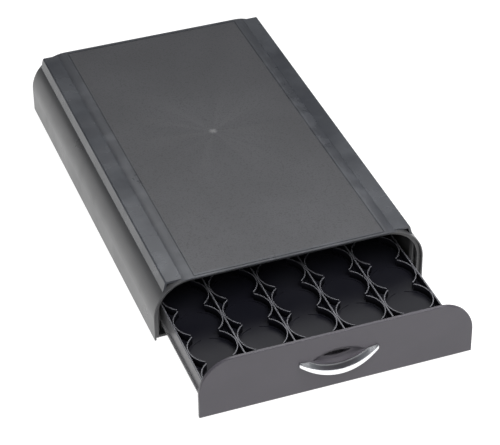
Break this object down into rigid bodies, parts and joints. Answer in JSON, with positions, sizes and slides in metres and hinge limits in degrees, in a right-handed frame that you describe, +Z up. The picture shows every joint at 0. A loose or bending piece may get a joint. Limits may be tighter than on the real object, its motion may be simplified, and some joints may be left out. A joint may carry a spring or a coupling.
{
  "type": "capsule storage drawer",
  "caption": "Low charcoal countertop drawer for coffee capsules, with a round-shouldered cover, two side rails on top and a curved chrome pull, shown pulled part way out.",
  "frame": {"origin": "middle of the outline seen from above as stored, with the drawer pulled out by 112 mm, on the surface that the feet stand on; the housing's own middle lies 59.65 mm behind it", "axes": "+X to the right of someone facing the drawer front, +Y from the drawer front to the housing's back, +Z up"},
  "size_m": [0.258, 0.5242, 0.0612],
  "materials": {
    "cover_plastic": "fine grained top, satin sides",
    "rail_plastic": "smooth, half gloss",
    "front_plastic": "satin",
    "tray_plastic": "satin",
    "base_plastic": "satin",
    "foot_rubber": "matt",
    "screw_steel": "zinc plated",
    "pull_chrome": "polished"
  },
  "bodies": {
    "housing": {"housing_cover": "cover_plastic", "base_plate": "base_plastic", "left_guide": "base_plastic", "right_guide": "base_plastic", "drawer_stops": "base_plastic", "left_rail": "rail_plastic", "right_rail": "rail_plastic", "foot_front_left": "foot_rubber", "foot_front_right": "foot_rubber", "foot_back_left": "foot_rubber", "foot_back_right": "foot_rubber", "base_screws": "screw_steel"},
    "drawer": {"drawer_tray": "tray_plastic", "column_dividers": "tray_plastic", "well_collars_1": "tray_plastic", "well_collars_2": "tray_plastic", "well_collars_3": "tray_plastic", "well_collars_4": "tray_plastic", "well_collars_5": "tray_plastic", "drawer_front": "front_plastic", "pull": "pull_chrome"}
  },
  "joints": [
    {"name": "drawer_slide", "type": "slide", "parent": "housing", "child": "drawer", "axis": [0, -1, 0], "range_m": [-0.112, 0.178]}
  ]
}
